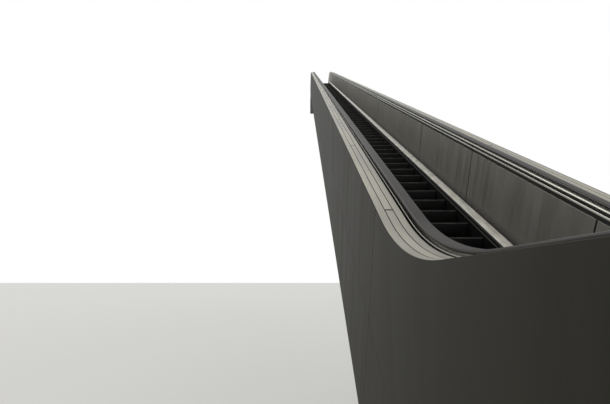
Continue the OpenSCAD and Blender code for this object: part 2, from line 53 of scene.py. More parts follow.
scene.view_settings.view_transform = "Standard"
print("frame loaded")

# the machine's run, in metres, as the construction has it
run = {
    "rise": 16.4, "slope": math.radians(30), "floorLow": 0.12,
    "bendLow": 2.0, "bendUp": 2.6, "flatRun": 1.215, "landingLow": 1.5, "landingUp": 1.8,
    "handHeight": 0.95, "handSquare": 0.853, "handBendLow": 2.15, "handBendUp": 3.5,
    "newelRadius": 0.3, "newelOut": 0.8, "trussStart": 0.09, "trussDepth": 1.08,
}
rise, slope, floorLow, bendLow, bendUp = (run[k] for k in ("rise", "slope", "floorLow", "bendLow", "bendUp"))
newelRadius = run["newelRadius"]
sinS, cosS, tanS, halfTan = math.sin(slope), math.cos(slope), math.tan(slope), math.tan(slope / 2)
floorUp = floorLow + rise
combLow = run["trussStart"] + run["landingLow"]
cornerLow = combLow + run["flatRun"] + bendLow * halfTan
cornerUp = cornerLow + rise / tanS
combUp = cornerUp + bendUp * halfTan + run["flatRun"]
trussEnd = combUp + run["landingUp"]
newelLow = combLow - run["newelOut"] + newelRadius
newelUp = combUp + run["newelOut"] - newelRadius
newelAt = (newelLow, newelUp)
slopeLen = rise / sinS
slopeStart = bendLow * halfTan
slopeEnd = slopeLen - bendUp * halfTan

# places across the machine, and the decks' heights over the treads and under the handrail's top
across = {
    "skirt": 0.505, "panel": 0.602, "hand": 0.622, "handWidth": 0.08, "deck": 0.725, "clad": 0.885,
    "outside": 0.897, "skirtUp": 0.076, "innerUp": 0.044, "panelDrop": 0.114, "deckDrop": 0.04,
}
skirtX, panelX, handX, deckX = across["skirt"], across["panel"], across["hand"], across["deck"]
skirtTop = across["skirtUp"]
innerTop = skirtTop + across["innerUp"]
panelTop, deckTop, outX = -across["panelDrop"], -across["deckDrop"], across["outside"]
bays = {"stub": 0.65, "nominal": 2.19, "joint": 0.004, "panelJoint": 0.018}
play = 0.0002  # air between neighbours that would otherwise share a face
bayStart, bayEnd = slopeStart + bays["stub"], slopeEnd - bays["stub"]
bayCount = round((bayEnd - bayStart) / bays["nominal"])
bayJoints = [(1, float(s)) for s in np.linspace(bayStart, bayEnd, bayCount + 1)]


def lineOf(height, square, low, high):
    # a line of the run lies height above the treads on the flats and square above the nosings on the slope;
    # its bends have the radii low and high
    shift = (height - square / cosS) / tanS
    return {"z": (floorLow + height, floorUp + height), "r": (low, high),
            "y": (cornerLow + shift, cornerUp + shift), "n": square}


stepLine = lineOf(0, 0, bendLow, bendUp)
handLine = lineOf(run["handHeight"], run["handSquare"], run["handBendLow"], run["handBendUp"])


def slopePoint(s, off):
    # (y, z) at a distance along the nosings and a height square to them
    return cornerLow + s * cosS - off * sinS, floorLow + s * sinS + off * cosS


def placeOn(line, off, place):
    # (y, z, angle) of a place: part 0 is the lower flat, 2 the upper flat, 1 the slope by distance
    part, d = place
    if part == 1:
        return np.array([[*slopePoint(d, line["n"] + off), slope]])
    return np.array([[d, line["z"][part // 2] + off, 0.0]])


def joined(*arrays):
    # numbers and arrays stretched to one shape and set side by side
    return np.stack(np.broadcast_arrays(*arrays), -1)


def arcOf(line, off, upper, count):
    # circle arc of a bend; its centre lies above the lower bend and below the upper one
    t, r = -1 if upper else 1, line["r"][upper]
    a = np.linspace(slope if upper else 0, 0 if upper else slope, count + 1)
    y, z, reach = line["y"][upper] - t * r * halfTan, line["z"][upper] + t * r, t * (r - t * off)
    return joined(y + reach * np.sin(a), z - reach * np.cos(a), a)


def pathOf(line, off, start, end, count=20):
    # straight on the flats and the slope, with the arcs that lie between the two places
    parts = [placeOn(line, off, start)]
    if start[0] == 0 and end[0] > 0:
        parts.append(arcOf(line, off, False, count))
    if start[0] < 2 and end[0] == 2:
        parts.append(arcOf(line, off, True, count))
    parts.append(placeOn(line, off, end))
    return np.vstack(parts)


def bendsOf(line, tail=0.02):
    # where a line's bends begin and end, a little way out on the straights
    lead = (line["y"][0] - cornerLow) * cosS + (line["z"][0] - floorLow) * sinS
    trail = (line["y"][1] - cornerUp) * cosS + (line["z"][1] - floorUp) * sinS
    low, high = line["r"][0] * halfTan, line["r"][1] * halfTan
    return [(0, line["y"][0] - low - tail), (1, lead + low + tail), (1, slopeLen + trail - high - tail),
            (2, line["y"][1] + high + tail)]


def newelArc(upper, count=48):
    # half circle at the handrail's top surface round a newel's centre
    t, r, z = -1 if upper else 1, newelRadius, handLine["z"][upper] - newelRadius
    a = np.linspace(0, math.pi, count + 1)[::-t]
    return joined(newelAt[upper] - t * r * np.sin(a), z + r * np.cos(a), t * a)


def piecesOf(ends, gap):
    # neighbouring places as (start, end), each drawn in by half a joint except at the two outer ends
    last = len(ends) - 2
    return [((a[0], a[1] + (gap / 2 if i else 0)), (b[0], b[1] - (gap / 2 if i < last else 0)))
            for i, (a, b) in enumerate(zip(ends, ends[1:]))]


def newelRuns(gap, places=bayJoints):
    # the stretches from newel to newel between the places, with a joint of this width at each
    return piecesOf([(0, newelLow)] + places + [(2, newelUp)], gap)


def onJoints(half):
    # the stretches this far to both sides of every bay joint
    return [((1, s - half), (1, s + half)) for _, s in bayJoints]


def gridShape(points, uv, closedAlong=False):
    # rings of points, closed round each ring; the ends are capped unless the path closes
    m, k = points.shape[:2]
    i = np.arange(m if closedAlong else m - 1)[:, None]
    j = np.arange(k)[None, :]
    a, b, jn = i * k, ((i + 1) % m) * k, (j + 1) % k
    quads = joined(a + j, b + j, b + jn, a + jn).reshape(-1, 4)
    u, v = uv
    corners = (u[i], v[j]), (u[i + 1], v[j]), (u[i + 1], v[j + 1]), (u[i], v[j + 1])
    loops, caps = np.stack([joined(*corner) for corner in corners], -2).reshape(-1, 2), []
    if not closedAlong:
        caps = [list(range(k)), list(range(m * k - 1, (m - 1) * k - 1, -1))]
        loops = np.vstack([loops, points[0][:, [0, 2]], points[-1][::-1][:, [0, 2]]])
    return points.reshape(-1, 3), quads.tolist() + caps, loops


def lengthsOf(points, closed=False):
    # running length along a row of points, with the way back to the first if it closes
    rows = np.vstack([points, points[:1]]) if closed else points
    return np.concatenate([[0], np.cumsum(np.linalg.norm(np.diff(rows, axis=0), axis=1))])


def sweepShape(section, path, closedAlong=False):
    # a section of (across, square) goes along the path: its second number runs along the path's normal
    section = np.asarray(section, float)
    s, c = np.sin(path[:, 2:3]), np.cos(path[:, 2:3])
    points = joined(section[:, 0], path[:, 0:1] - section[:, 1] * s, path[:, 1:2] + section[:, 1] * c)
    uv = (lengthsOf(path[:, :2], closedAlong), lengthsOf(section, True))
    return gridShape(points, uv, closedAlong)


def plateShape(lineA, offA, lineB, offB, start, end, x0, x1, edge=0.0015):
    # ruled between two lines of the run, with its four long edges chamfered
    low, high = pathOf(lineA, offA, start, end), pathOf(lineB, offB, start, end)
    ring = np.array([(x0 + edge, 0, 0), (x1 - edge, 0, 0), (x1, 0, edge), (x1, 1, -edge),
                     (x1 - edge, 1, 0), (x0 + edge, 1, 0), (x0, 1, -edge), (x0, 0, edge)])
    span = high[:, :2] - low[:, :2]
    unit = span / np.linalg.norm(span, axis=1, keepdims=True)
    yz = low[:, None, :2] + span[:, None] * ring[:, 1:2] + unit[:, None] * ring[:, 2:3]
    w, h = x1 - x0, float(np.linalg.norm(span, axis=1).max())
    around = np.array([0, w, w, w + h, w + h, 2 * w + h, 2 * w + h, 2 * (w + h), 2 * (w + h)])
    return gridShape(joined(ring[:, 0], yz[..., 0], yz[..., 1]), (lengthsOf(high[:, :2]), around))


def prismShape(ring, start, end, axis=1):
    # a flat ring of points stands at two places along one axis: 0 across, 1 along the plan, 2 upright
    ring = np.asarray(ring, float)
    points = np.stack([np.insert(ring, axis, v, axis=1) for v in (start, end)])
    return gridShape(points, (np.array([0, abs(end - start)]), lengthsOf(ring, True)))


def barRing(a0, a1, b0, b1, e=0.0015):
    # rectangle with its corners cut by e
    return [(a0 + e, b0), (a1 - e, b0), (a1, b0 + e), (a1, b1 - e),
            (a1 - e, b1), (a0 + e, b1), (a0, b1 - e), (a0, b0 + e)]


def headsShape(centres, normal, radius, height, sides=8, top=0.62):
    # low heads: three rings round the normal at each centre, widest at the foot, closed flat at both ends
    normal = np.array(normal) / np.linalg.norm(normal)
    side = np.cross(normal, (0.31, 0.9, 0.3))
    side /= np.linalg.norm(side)
    a = np.linspace(0, 2 * math.pi, sides, endpoint=False)[:, None]
    turn = np.cos(a) * side + np.sin(a) * np.cross(normal, side)
    rings = np.array([(1.0, -0.4), (1.0, 0.4), (top, 1.0)])
    local = rings[:, 0, None, None] * radius * turn + rings[:, 1, None, None] * height * normal
    verts = (np.array(centres)[:, None, None] + local).reshape(-1, 3)
    i, j = np.arange(2)[:, None] * sides, np.arange(sides)[None, :]
    jn = (j + 1) % sides
    quad = joined(i + j, i + jn, i + sides + jn, i + sides + j)
    starts = np.arange(len(centres))[:, None] * 3 * sides
    faces = (starts[:, :, None] + quad.reshape(1, -1, 4)).reshape(-1, 4).tolist()
    faces += (starts + np.arange(2 * sides, 3 * sides)).tolist() + (starts + np.arange(sides)[::-1]).tolist()
    return verts, faces, np.zeros((sum(len(f) for f in faces), 2))


def inMetres(points, x, z=0):
    # a section drawn in millimetres from a place across and up
    return np.array(points) / 1000 + [x, z]


def tonedApart(shape, k):
    # moves a sheet's surface lengths on, so that each sheet shows its own part of the finish
    return shape[0], shape[1], shape[2] + [k * 5.37, k * 0.71]


def mirrored(shape):
    # the same shape on the other side of the machine
    return shape[0] * [-1, 1, 1], shape[1], shape[2]


def placed(name, data):
    # an object that shows this data in the scene
    made = bpy.data.objects.new(name, data)
    scene.collection.objects.link(made)
    return made


def addPiece(name, shapes, material, node=None, sharp=38):
    # joins shapes into one mesh, gives it its surface lengths in metres as UVs, and lets it ride, in the
    # place of the construction's node if it has one
    starts = np.concatenate([[0], np.cumsum([len(s[0]) for s in shapes])])
    faces = [[v + int(starts[n]) for v in f] for n, s in enumerate(shapes) for f in s[1]]
    mesh = bpy.data.meshes.new(name)
    mesh.from_pydata(np.vstack([s[0] for s in shapes]).tolist(), [], faces)
    layer = mesh.uv_layers.new(name="surface")
    layer.data.foreach_set("uv", np.vstack([s[2] for s in shapes]).astype(np.float32).ravel())
    work = bmesh.new()
    work.from_mesh(mesh)
    bmesh.ops.recalc_face_normals(work, faces=work.faces)
    work.to_mesh(mesh)
    work.free()
    mesh.shade_smooth()
    mesh.set_sharp_from_angle(angle=math.radians(sharp))
    mesh.materials.append(material)
    piece = placed(name, mesh)
    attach(piece, "root")
    if node:
        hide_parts(node)


def bothSides(name, shapes, material, node=None):
    # the right-hand piece and its mirror image
    for side, made in (("right", shapes), ("left", [mirrored(s) for s in shapes])):
        addPiece(f"{name}_{side}", made, material, node and f"{node}_{side}")


def toLinear(text):
    # sRGB hex to a linear colour
    channel = np.array([int(text[i:i + 2], 16) for i in (1, 3, 5)]) / 255
    linear = np.where(channel <= 0.04045, channel / 12.92, ((channel + 0.055) / 1.055) ** 2.4)
    return (*linear.tolist(), 1.0)


def addNode(tree, kind, settings=None, links=None, stops=()):
    # one node with its properties, socket values and colour stops, linked from other nodes' outputs
    made = tree.nodes.new("ShaderNode" + kind)
    for key, value in (settings or {}).items():
        if isinstance(key, str) and hasattr(made, key):
            setattr(made, key, value)
        else:
            made.inputs[key].default_value = value
    for key, source in (links or {}).items():
        tree.links.new(source, made.inputs[key])
    for k, (place, colour) in enumerate(stops):
        made.color_ramp.elements[k].position = place
        made.color_ramp.elements[k].color = colour
    return made


def newMaterial(name, rough, metal=0.0, shine=0.5):
    # a principled surface with its plain values set on the shader
    made = bpy.data.materials.new(name)
    made.use_nodes = True
    shader = made.node_tree.nodes["Principled BSDF"]
    for key, value in (("Roughness", rough), ("Metallic", metal), ("Specular IOR Level", shine)):
        shader.inputs[key].default_value = value
    return made, made.node_tree, shader


def mottle(tree, coords, stretch, detail=4.0, tones=(), roughness=0.5, ends=(0.3, 0.7)):
    # noise stretched by three scales, so that a pattern can run one way, and the tone that follows it
    moved = addNode(tree, "Mapping", {"Scale": stretch}, {"Vector": coords}).outputs[0]
    grain = {"Scale": 1.0, "Detail": detail, "Roughness": roughness}
    noise = addNode(tree, "TexNoise", grain, {"Vector": moved}).outputs["Fac"]
    if not tones:
        return noise
    stops = [(place, toLinear(tone)) for place, tone in zip(ends, tones)]
    return noise, addNode(tree, "ValToRGB", links={"Fac": noise}, stops=stops).outputs[0]


def toneAndRelief(tree, shader, tone, height, strength, distance=0.0004):
    # the colour and the fine relief of a surface reach its shader
    tree.links.new(tone, shader.inputs["Base Color"])
    bump = addNode(tree, "Bump", {"Strength": strength, "Distance": distance}, {"Height": height})
    tree.links.new(bump.outputs[0], shader.inputs["Normal"])


def besideEdge(tree, coords, reach, values):
    # goes from the first value to the second with the distance from where the UV's second number is nought
    split = addNode(tree, "SeparateXYZ", links={"Vector": coords}).outputs[1]
    away = addNode(tree, "Math", {"operation": "ABSOLUTE"}, {0: split}).outputs[0]
    span = {"From Min": reach[0], "From Max": reach[1], "To Min": values[0], "To Max": values[1]}
    return addNode(tree, "MapRange", span, {"Value": away}).outputs[0]


def brushedSteel(name, look):
    # stainless steel sheet rolled and brushed one way: soft streaks along the brushing, hand and shoe
    # grime in broad patches, and the tone of the real surface
    made, tree, shader = newMaterial(name, look["rough"], look.get("metal", 1.0), look.get("shine", 0.5))
    coords = addNode(tree, "TexCoord").outputs["UV" if look.get("uv", True) else "Object"]
    patches, colour = mottle(tree, coords, look["patches"], 4.0, (look["dark"], look["light"]), 0.55)
    lines = mottle(tree, coords, look["lines"], 3.0, roughness=0.6)
    greys = [(0.25, (0.86, 0.86, 0.86, 1)), (0.75, (1, 1, 1, 1))]
    layers = [addNode(tree, "ValToRGB", links={"Fac": lines}, stops=greys).outputs[0]]
    if "foot" in look:
        # painted shade along a sheet's foot: the colour darkens towards the foot, where the deck keeps light
        # off the panel
        layers.append(besideEdge(tree, coords, (0.0, look["foot"]), (0.3, 1.0)))
    for layer in layers:
        colour = addNode(tree, "Mix", {"data_type": "RGBA", "blend_type": "MULTIPLY", 0: 1.0},
                         {6: colour, 7: layer}).outputs[2]
    gloss = {"From Min": 0.3, "From Max": 0.7, "To Min": look["rough"] - 0.06, "To Max": look["rough"] + 0.08}
    rough = addNode(tree, "MapRange", gloss, {"Value": patches}).outputs[0]
    tree.links.new(rough, shader.inputs["Roughness"])
    toneAndRelief(tree, shader, colour, lines, look.get("bump", 0.15))
    return made


def patternedSteel():
    # stainless sheet rolled with small raised lozenges against slipping, where two wave patterns cross at
    # 60 degrees: 9 mm long and 5 mm wide, drawn a little over their real 6 mm so that they show
    made, tree, shader = newMaterial("patterned stainless inner deck", 0.4, 0.9)
    coords = addNode(tree, "TexCoord").outputs["UV"]
    waves = []
    for turn in (0, 60):
        settings = {"Rotation": (0, 0, math.radians(turn)), "Scale": (18, 30, 1)}
        moved = addNode(tree, "Mapping", settings, {"Vector": coords}).outputs[0]
        waves.append(addNode(tree, "TexWave", {"Scale": 1.0}, {"Vector": moved}).outputs["Fac"])
    lozenge = addNode(tree, "Math", {"operation": "MULTIPLY"}, {0: waves[0], 1: waves[1]}).outputs[0]
    dust = mottle(tree, coords, (5, 30, 1), 5.0, ("#78766d", "#98968d"))[1]
    toneAndRelief(tree, shader, dust, lozenge, 0.5, 0.0006)
    return made


def handrailRubber():
    # black chlorosulphonated rubber over fabric plies, rubbed by hands to a soft sheen on its crown
    made, tree, shader = newMaterial("handrail rubber", 0.44, shine=0.14)
    coords = addNode(tree, "TexCoord").outputs["UV"]
    smear = mottle(tree, coords, (3, 30, 1), 3.0, ("#191716", "#2a2724"), ends=(0.3, 0.75))[1]
    toneAndRelief(tree, shader, smear, mottle(tree, coords, (260, 260, 1), 6.0), 0.12, 0.0003)
    return made


def stepMetal():
    # die-cast aluminium coated black; the cleats' crowns near the nose are worn through to grey. The UV's
    # second number is the length back from the nose over the tread, and below nought down the riser
    made, tree, shader = newMaterial("black-coated cast aluminium", 0.55, 0.2, 0.3)
    coords = addNode(tree, "TexCoord").outputs["UV"]
    edge = besideEdge(tree, coords, (0.003, 0.014), (1.0, 0.0))
    scuff, base = mottle(tree, coords, (6, 14, 1), 5.0, ("#0e0e0e", "#191918"))
    wear = addNode(tree, "Math", {"operation": "MULTIPLY"}, {0: edge, 1: scuff}).outputs[0]
    bare = {"data_type": "RGBA", 7: toLinear("#8a8780")}
    colour = addNode(tree, "Mix", bare, {0: wear, 6: base}).outputs[2]
    tree.links.new(colour, shader.inputs["Base Color"])
    return made


def plainFinish(name, rough, tones, patches, metal=0.0, shine=0.5, grain=(300, 300, 300), bump=0.1):
    # painted, coated or moulded: the tone drifts in patches and a fine grain breaks the gloss
    made, tree, shader = newMaterial(name, rough, metal, shine)
    coords = addNode(tree, "TexCoord").outputs["Object"]
    tone = mottle(tree, coords, patches, tones=tones)[1]
    toneAndRelief(tree, shader, tone, mottle(tree, coords, grain), bump)
    return made


# brushed across the slope, as the panels' streaks run; grain drawn 2 mm wide so that it shows
panelSteel = brushedSteel("brushed stainless panel", {
    "rough": 0.52, "metal": 0.6, "lines": (480, 6, 1), "patches": (13, 1.1, 1),
    # foot: painted shade, the panel darkening over its lowest 9 cm towards the inner deck
    "dark": "#83827b", "light": "#8c8a83", "foot": 0.09})
# brushed along the run, warm grey and dusty
deckSteel = brushedSteel("brushed stainless deck", {
    "rough": 0.42, "metal": 0.8, "lines": (4, 420, 1), "patches": (0.9, 7, 1),
    "dark": "#85837a", "light": "#a8a597"})
# polished profile, bright with fine rub lines from hands and cleaning
guideSteel = brushedSteel("polished stainless guide", {
    "rough": 0.26, "lines": (1.5, 40, 1), "patches": (0.8, 3, 1),
    "dark": "#76756e", "light": "#8f8e86", "bump": 0.0})
# brushed casing of the newels, smoother than the panels
newelSteel = brushedSteel("brushed stainless newel", {
    "rough": 0.36, "uv": False, "lines": (5, 300, 300), "patches": (3, 3, 3),
    "dark": "#8a887f", "light": "#a5a399"})
# brushed sheet gone dark and olive with brake dust and cleaning oil, streaked downwards
claddingSteel = brushedSteel("dulled stainless cladding", {
    "rough": 0.64, "metal": 0.15, "shine": 0.1, "lines": (300, 5, 1), "patches": (4.5, 0.45, 1),
    "dark": "#24231e", "light": "#32312b", "bump": 0.08})
innerDeckSteel = patternedSteel()
rubber = handrailRubber()
stepAlloy = stepMetal()
# black extruded rubber
blackProfile = plainFinish("black rubber profile", 0.7, ("#0b0b0b", "#141413"), (3, 3, 3), shine=0.15)
# the same rubber greyed by dust and cleaning, where hands brush along it
dustyProfile = plainFinish("dusty rubber trim", 0.75, ("#1e1e1c", "#2c2c29"), (4, 4, 4), shine=0.2)
# low-friction black lacquer on steel, wiped to a soft gloss
skirtLacquer = plainFinish("black skirt lacquer", 0.45, ("#0b0b0b", "#131313"), (2, 2, 2), shine=0.2)
# nylon bristle tufts, grey with dust
brushNylon = plainFinish("nylon brush", 0.8, ("#161614", "#262623"), (9, 9, 9), shine=0.2,
                         grain=(40, 900, 900), bump=0.6)
# zinc-plated steel of screw and bolt heads
zincSteel = plainFinish("zinc-plated steel", 0.4, ("#8b8c8a", "#a3a4a1"), (30, 30, 30), metal=0.9)
# dark grey paint on rolled steel
trussPaint = plainFinish("dark grey structural paint", 0.6, ("#33363a", "#40444a"), (2, 2, 2))
# rolled steel, rubbed by the wheels
railSteel = plainFinish("worn steel rail", 0.4, ("#5b5d60", "#77797b"), (4, 4, 4), metal=0.9)
# cast aluminium with a warm tone
combAlloy = plainFinish("cast aluminium comb", 0.42, ("#8f8a75", "#aca68d"), (14, 14, 14), metal=0.9)
# extruded aluminium of the floor and comb plates, its tone drifting faster along the run
floorAlloy = plainFinish("ribbed floor aluminium", 0.46, ("#70706d", "#7f7f7b"), (3, 12, 3), metal=0.85)
print("materials made")

# steps: one cleated casting repeated along the run
steps = {
    "width": 1.0, "depth": 0.4, "pitch": 0.405, "treadThick": 0.024, "riserThick": 0.014,
    "riserAngle": math.radians(31.5), "riserRows": 3, "rim": 0.004, "cleatPitch": 0.009, "slant": 0.0003,
    "cleatDepth": 0.011, "noseCleat": 0.007, "riserCleat": 0.006, "noseRadius": 0.003,
    "firstNose": 0.01, "atComb": 0.195, "beyondComb": 0.025, "landing": 5,
}
wheels = {"drop": 0.19, "radius": 0.036, "hubRadius": 0.012, "webs": (0.438, 0.446),
          "chain": {"y": -0.03, "hub": (0.446, 0.488), "tyre": (0.452, 0.486)},
          "trailing": {"y": -0.28, "hub": (0.398, 0.438), "tyre": (0.398, 0.43)}}


def nosePlaces():
    # nose points along the step line, a pitch apart, from under the lower comb to under the upper one
    flat = run["flatRun"] + steps["atComb"]
    arcA, arcB = bendLow * slope, bendUp * slope
    incline = slopeEnd - slopeStart
    total = flat + arcA + incline + arcB + run["flatRun"] + steps["beyondComb"]
    count = math.ceil((total - steps["depth"] - steps["firstNose"]) / steps["pitch"]) + 1
    s1 = steps["firstNose"] + steps["pitch"] * np.arange(count) - flat
    s2 = s1 - arcA
    s3 = s2 - incline
    s4 = s3 - arcB
    yA, yB = cornerLow - slopeStart, cornerUp + bendUp * halfTan
    a, b = s1 / bendLow, slope - s3 / bendUp
    parts = [s1 < 0, s2 < 0, s3 < 0, s4 < 0]
    y = np.select(parts, [yA + s1, yA + bendLow * np.sin(a), cornerLow + (slopeStart + s2) * cosS,
                          yB - bendUp * np.sin(b)], yB + s4)
    z = np.select(parts, [0 * s1, bendLow * (1 - np.cos(a)), (slopeStart + s2) * sinS,
                          rise - bendUp * (1 - np.cos(b))], rise)
    return y, floorLow + z


def stepShape():
    # side profile from the tread's rear edge over the nose and down the curved riser, with the cleats cut
    # along its normal; closed below by a plain inner profile
    n = 2 * math.floor((steps["width"] / 2 - steps["rim"]) / steps["cleatPitch"])
    centre = (np.arange(n) - n / 2 + 0.5) * steps["cleatPitch"]
    g, slant, half = steps["cleatPitch"] / 4, steps["slant"], steps["width"] / 2
    xs = joined(centre - g - slant, centre - g + slant, centre + g - slant, centre + g + slant)
    xs = np.concatenate([[-half], xs.ravel(), [half]])
    cut = np.concatenate([[0], np.tile([0.0, 1.0, 1.0, 0.0], n), [0]])
    d, r = steps["depth"], steps["noseRadius"]
    a = np.linspace(math.asin(r / d) * 1.2, steps["riserAngle"], steps["riserRows"] + 1)
    riser = -joined(np.cos(a), np.sin(a))
    profile = np.vstack([[(0, 0), (-d + r, 0), (-d + r * 0.3, -r * 0.3)], d * riser])
    normal = np.vstack([[(0, 1), (0, 1), (-0.7, 0.7)], riser])
    depth = np.array([steps["cleatDepth"]] * 2 + [steps["noseCleat"]] + [steps["riserCleat"]] * len(a))
    back = lengthsOf(profile) - lengthsOf(profile)[2]
    drop = cut[None, :] * depth[:, None]
    top = joined(xs, profile[:, 0:1] - normal[:, 0:1] * drop, profile[:, 1:2] - normal[:, 1:2] * drop)
    m, w = top.shape[:2]
    inner = d - steps["riserThick"]
    b = np.linspace(steps["riserAngle"], math.asin(steps["treadThick"] / inner), 4)
    under = np.vstack([-inner * joined(np.cos(b), np.sin(b)), [(0, -steps["treadThick"])]])
    low = joined([-half, half], under[:, 0:1], under[:, 1:2])
    i, j = np.arange(m - 1)[:, None] * w, np.arange(w - 1)[None, :]
    quads = joined(i + j, i + j + 1, i + w + j + 1, i + w + j).reshape(-1, 4)
    start, last = m * w, m * w + 2 * (len(under) - 1)
    p = np.arange(start, last, 2)
    lower = joined(p, p + 1, p + 3, p + 2)
    rear = list(range(w)) + [last + 1, last]
    foot = list(range((m - 1) * w, m * w)) + [start + 1, start]
    left = list(range(0, m * w, w)) + list(range(start, last + 2, 2))
    right = list(range(w - 1, m * w, w)) + list(range(start + 1, last + 2, 2))
    verts = np.vstack([top.reshape(-1, 3), low.reshape(-1, 3)])
    v = np.concatenate([-np.broadcast_to(back[:, None], (m, w)).reshape(-1), np.full(2 * len(under), 0.5)])
    faces = quads.tolist() + lower.tolist() + [rear, foot, left, right]
    loops = np.array([q for f in faces for q in f])
    return verts, faces, joined(verts[:, 0], v)[loops]


def discShape(x0, x1, y, z, radius, count=20):
    # a wheel or stub: two rings across the machine, capped
    a = np.linspace(0, 2 * math.pi, count, endpoint=False)
    points = joined([[x0], [x1]], y + radius * np.cos(a), z + radius * np.sin(a))
    return gridShape(points, (np.array([0, x1 - x0]), np.linspace(0, 2 * math.pi * radius, count + 1)))


def bracketShape():
    # cast side web under the tread, with a foot at each wheel
    d = wheels["drop"]
    outline = [(-0.008, -0.024), (-0.008, -d + 0.03), (-0.016, -d - 0.012), (-0.044, -d - 0.012),
               (-0.064, -d + 0.07), (-0.24, -d + 0.07), (-0.262, -d - 0.012), (-0.296, -d - 0.012),
               (-0.345, -d + 0.07), (-0.374, -0.024)]
    return prismShape(outline, *wheels["webs"], 0)


sideParts = [bracketShape()]
for wheel in (wheels["chain"], wheels["trailing"]):
    sideParts.append(discShape(*wheel["hub"], wheel["y"], -wheels["drop"], wheels["hubRadius"], 12))
    sideParts.append(discShape(*wheel["tyre"], wheel["y"], -wheels["drop"], wheels["radius"]))
wholeStep = [stepShape()] + sideParts + [mirrored(s) for s in sideParts]
noseY, noseZ = nosePlaces()
stepCount = len(noseY)
quarter = (stepCount - 2 * steps["landing"]) // 4
cuts = [0] + [steps["landing"] + quarter * q for q in range(4)] + [stepCount - steps["landing"], stepCount]
stretches = ["lower", "incline_a", "incline_b", "incline_c", "incline_d", "upper"]
for stretch, k0, k1 in zip(stretches, cuts, cuts[1:]):
    shapes = [(verts + [0, noseY[k] + steps["depth"], noseZ[k]], faces, uv)
              for k in range(k0, k1) for verts, faces, uv in wholeStep]
    addPiece(f"cleated_steps_{stretch}", shapes, stepAlloy, f"steps_{stretch}", 30)
print("steps placed:", stepCount)

# skirts, with the brush strip between the two combs; the brush's section is in millimetres
skirt = {"low": -0.24, "thick": 0.006, "edge": 0.001}
brush = {"joint": 0.002,
         "section": [(-16, 38.5), (-14, 36), (-6, 34), (0, 34), (0, 46), (-6, 46), (-14, 42.5)]}
innerDeck = {"thick": 0.004, "inset": 0.004, "lift": 0.0012, "air": 0.0005}
stepBends, handBends = bendsOf(stepLine), bendsOf(handLine)
bothSides("skirt_plate", [
    plateShape(stepLine, skirt["low"], stepLine, skirtTop - innerDeck["thick"], a, b, skirtX,
               skirtX + skirt["thick"], skirt["edge"]) for a, b in newelRuns(bays["joint"])],
    skirtLacquer, "skirt")
bothSides("skirt_brush_strip", [
    sweepShape(inMetres(brush["section"], skirtX), pathOf(stepLine, 0, a, b))
    for a, b in piecesOf([(0, combLow)] + stepBends + [(2, combUp)], brush["joint"])],
    brushNylon, "skirt_brush")

# inner deck: folded sheet with a rolled nosing at the skirt, the slope, and a flange under the panel
inset, lift = innerDeck["inset"], innerDeck["lift"]
innerLow = innerTop - innerDeck["thick"]
innerSection = [(skirtX + 0.001, skirtTop - 0.004), (panelX, innerLow), (handX, innerLow), (handX, innerTop),
                (panelX + 0.002, innerTop), (panelX - inset, innerTop - lift),
                (skirtX + inset, skirtTop + lift), (skirtX + 0.0012, skirtTop - 0.0004),
                (skirtX, skirtTop - 0.002)]
innerRuns = newelRuns(bays["joint"], stepBends[:2] + bayJoints + stepBends[2:])
bothSides("inner_deck_sheet", [
    sweepShape(innerSection, pathOf(stepLine, 0, a, b)) for a, b in innerRuns],
    innerDeckSteel, "inner_deck")
# black profiles along both edges of the sheet: a nosing over the skirt, and a black strip at the panel's foot
# that darkens the corner between sheet and panel
deckPitch = (innerTop - skirtTop - 2 * lift) / (panelX - skirtX - 2 * inset)
nosing = [(-0.8, -10), (-0.8, -1.5), (3.5, 2.2), (14.5, 2.1 + 10.5 * deckPitch),
          (14.8, 0.9 + 10.8 * deckPitch), (4, 0.8), (0.5, -1.8), (0.5, -10)]
gasket = [(-11.8, -5.6), (-0.2, -0.6), (-0.2, 5.5), (-3.5, 4.8), (-11.2, -3.2)]
edging = (inMetres(nosing, skirtX, skirtTop), inMetres(gasket, panelX, innerTop))
edgingPath = pathOf(stepLine, 0, (0, newelLow + innerDeck["air"]), (2, newelUp - innerDeck["air"]))
bothSides("inner_deck_edging", [sweepShape(ring[::-1], edgingPath) for ring in edging], blackProfile)

# panels, with a black strip behind each joint
panel = {"edge": 0.0008, "stripEdge": 0.0003, "sunk": 0.0006, "margin": 0.002}


def fromFoot(shape, k):
    # each sheet shows its own part of the finish, with the distance round counted from the inner face's
    # foot; the last 16 corners are the two end caps
    # the distance from the foot sets where the panel's painted shade lies
    return shape[0], shape[1], shape[2] + [k * 5.37, -shape[2][:-16, 1].max()]


bothSides("panel_sheet", [
    fromFoot(plateShape(stepLine, innerTop, handLine, panelTop, a, b, panelX, handX, panel["edge"]), k)
    for k, (a, b) in enumerate(newelRuns(bays["panelJoint"]))], panelSteel, "panels")
bothSides("panel_joint_strip", [
    plateShape(stepLine, innerTop + panel["margin"], handLine, panelTop - panel["margin"], a, b,
               panelX + panel["sunk"], handX - panel["sunk"], panel["stripEdge"])
    for a, b in onJoints(bays["panelJoint"] / 2 - play)], blackProfile)


def roundedSection(points, radii, count):
    # corners of a section rounded by arcs tangent to both sides; a radius of nought keeps its corner
    out = []
    pts = np.array(points, float)
    for i, p in enumerate(pts):
        r = radii[i]
        if r <= 0:
            out.append(p)
            continue
        u, v = pts[i - 1] - p, pts[(i + 1) % len(pts)] - p
        lu, lv = np.linalg.norm(u), np.linalg.norm(v)
        u, v = u / lu, v / lv
        turn = math.acos(max(-1, min(1, float(u @ v))))
        t = min(r / math.tan(turn / 2), lu * 0.49, lv * 0.49)
        rr = t * math.tan(turn / 2)
        mid = p + (u + v) / np.linalg.norm(u + v) * rr / math.sin(turn / 2)
        start, end = p + u * t - mid, p + v * t - mid
        f = np.linspace(0, 1, count + 1)[:, None]
        arc = start * (1 - f) + end * f
        out.extend(mid + arc / np.linalg.norm(arc, axis=1, keepdims=True) * rr)
    return np.array(out)


